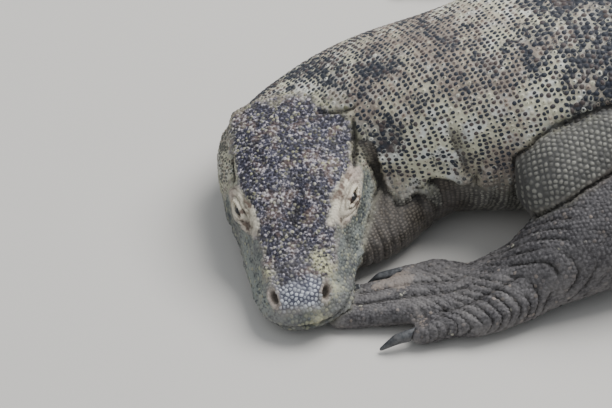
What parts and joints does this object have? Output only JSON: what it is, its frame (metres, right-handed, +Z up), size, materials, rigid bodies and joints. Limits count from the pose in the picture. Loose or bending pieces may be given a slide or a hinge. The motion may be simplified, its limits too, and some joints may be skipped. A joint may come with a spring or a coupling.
{
  "type": "komodo dragon model",
  "caption": "Life-size still model of a resting Komodo dragon with a scaly hide, clawed feet and a long tapering tail, its chin on one hand, for display.",
  "frame": {"origin": "middle of the bottom of the bounding box, on the floor the animal lies on", "axes": "+Z up; the head points along -Y at the -X end, the trunk runs along +X and the tail sweeps back along +Y"},
  "size_m": [1.4772, 0.9376, 0.1727],
  "materials": {
    "crown": "small irregular scales, dark purple-grey mottled with cream",
    "jaw": "smooth greenish-grey lip scales",
    "back": "bead-like scales in rows, cream and buff with dark centres",
    "limb": "fine grey-brown scales in rows with wrinkles at the joints",
    "claw": "dark slate horn",
    "eye": "wet dark brown eye"
  },
  "bodies": {
    "root": {"head": "crown", "lower_jaw": "jaw", "eye_left": "eye", "eye_right": "eye", "neck": "back", "chest": "back", "belly_front": "back", "belly_rear": "back", "hips": "back", "tail_1": "back", "tail_2": "back", "tail_3": "back", "tail_4": "back", "tail_5": "back", "front_left_upper_arm": "limb", "front_left_forearm": "limb", "front_left_hand": "limb", "front_left_claw_1": "claw", "front_left_claw_2": "claw", "front_left_claw_3": "claw", "front_left_claw_4": "claw", "front_left_claw_5": "claw", "front_right_upper_arm": "limb", "front_right_forearm": "limb", "front_right_hand": "limb", "front_right_claw_1": "claw", "front_right_claw_2": "claw", "front_right_claw_3": "claw", "front_right_claw_4": "claw", "front_right_claw_5": "claw", "hind_left_thigh": "limb", "hind_left_shank": "limb", "hind_left_foot": "limb", "hind_left_claw_1": "claw", "hind_left_claw_2": "claw", "hind_left_claw_3": "claw", "hind_left_claw_4": "claw", "hind_left_claw_5": "claw", "hind_right_thigh": "limb", "hind_right_shank": "limb", "hind_right_foot": "limb", "hind_right_claw_1": "claw", "hind_right_claw_2": "claw", "hind_right_claw_3": "claw", "hind_right_claw_4": "claw", "hind_right_claw_5": "claw"}
  },
  "joints": []
}
